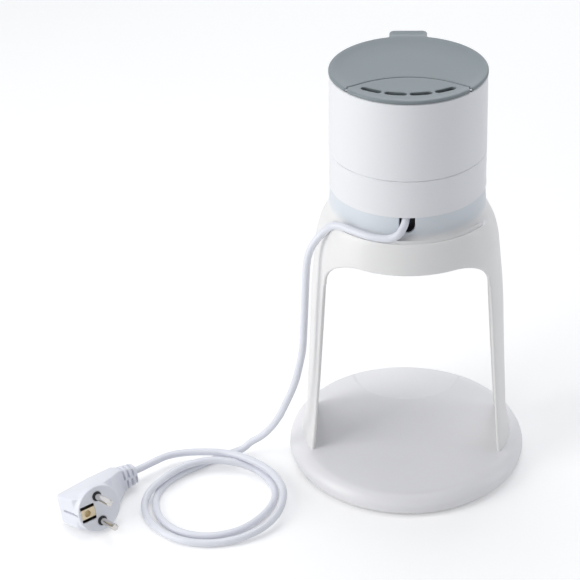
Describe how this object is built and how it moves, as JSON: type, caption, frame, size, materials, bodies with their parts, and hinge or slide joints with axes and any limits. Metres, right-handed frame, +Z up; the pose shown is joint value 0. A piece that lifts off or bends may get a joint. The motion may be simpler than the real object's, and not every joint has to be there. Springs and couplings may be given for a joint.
{
  "type": "bottle warmer",
  "caption": "Tower bottle warmer: round heater head with hinged grey lid over a disc base on a two-legged stand, with mains cord and angled plug.",
  "frame": {"origin": "centre of the base's underside, on the table", "axes": "+Z up along the head's axis, the cord leaves towards -Y, the lid tab and the controls face +Y, +X to the right when the cord side is seen from outside"},
  "size_m": [0.332, 0.2095, 0.3065],
  "materials": {
    "base_plastic": "satin",
    "stand_plastic": "satin",
    "shell_plastic": "satin pearl",
    "grey_plastic": "fine matte",
    "dark_plastic": "matte",
    "black_plastic": "matte",
    "valve_plastic": "satin",
    "ballast_iron": "rolled",
    "pad_rubber": "matte",
    "screw_steel": "zinc plated",
    "tank_steel": "drawn",
    "element_steel": "heat-tinted",
    "spring_steel": "bright",
    "plate_aluminium": "cast",
    "silicone": "translucent matte",
    "fuse_body": "matte",
    "amber_lens": "clear",
    "board_green": "lacquered",
    "relay_blue": "satin",
    "wire_red": "satin",
    "cord_pvc": "satin",
    "pin_nickel": "nickel plated",
    "earth_brass": "plated"
  },
  "bodies": {
    "stand": {"base_cover": "base_plastic", "base_plate": "base_plastic", "ballast_plate": "ballast_iron", "foot_pads": "pad_rubber", "base_screws": "screw_steel", "leg_screws": "screw_steel", "stand_frame": "stand_plastic", "power_cord": "cord_pvc", "plug_body": "cord_pvc", "plug_pins": "pin_nickel", "pin_insulators": "black_plastic", "earth_contact": "earth_brass"},
    "head": {"bottom_cover": "dark_plastic", "bottom_cover_screws": "screw_steel", "lower_shell": "shell_plastic", "upper_shell": "shell_plastic", "shell_screws": "screw_steel", "water_tank": "tank_steel", "tank_seal": "silicone", "heater_plate": "plate_aluminium", "heating_element": "element_steel", "thermostat": "black_plastic", "thermal_fuse": "fuse_body", "temperature_sensor": "tank_steel", "outlet_fitting": "tank_steel", "outlet_seal": "silicone", "outlet_nut": "tank_steel", "silicone_hose": "silicone", "outlet_nozzle": "valve_plastic", "valve_frame": "valve_plastic", "yoke_spring": "spring_steel", "rotary_switch": "black_plastic", "indicator_lens": "amber_lens", "indicator_led": "fuse_body", "control_board": "board_green", "power_relay": "relay_blue", "capacitor": "black_plastic", "terminal_block": "fuse_body", "internal_wires": "wire_red", "cord_clamp": "valve_plastic", "clamp_screws": "screw_steel", "vent_cover": "grey_plastic", "hinge_pins": "spring_steel"},
    "lid": {"lid_flap": "grey_plastic"},
    "button": {"dispense_button": "grey_plastic", "pinch_yoke": "valve_plastic"},
    "knob": {"temperature_knob": "grey_plastic", "knob_shaft": "spring_steel"}
  },
  "joints": [
    {"name": "head_lift", "type": "slide", "parent": "stand", "child": "head", "axis": [0, 0, 1], "range_m": [0, 0.03]},
    {"name": "lid_hinge", "type": "hinge", "parent": "head", "child": "lid", "pos_m": [0, -0.0325, 0.3049], "axis": [1, 0, 0], "range_deg": [0, 100]},
    {"name": "button_press", "type": "slide", "parent": "head", "child": "button", "axis": [0, -1, 0], "range_m": [0, 0.004], "stiffness_N_per_m": 600, "deforming": ["yoke_spring"]},
    {"name": "knob_turn", "type": "hinge", "parent": "head", "child": "knob", "pos_m": [0.0296, 0.0439, 0.236], "axis": [-0.5592, -0.829, 0], "range_deg": [0, 270]}
  ]
}
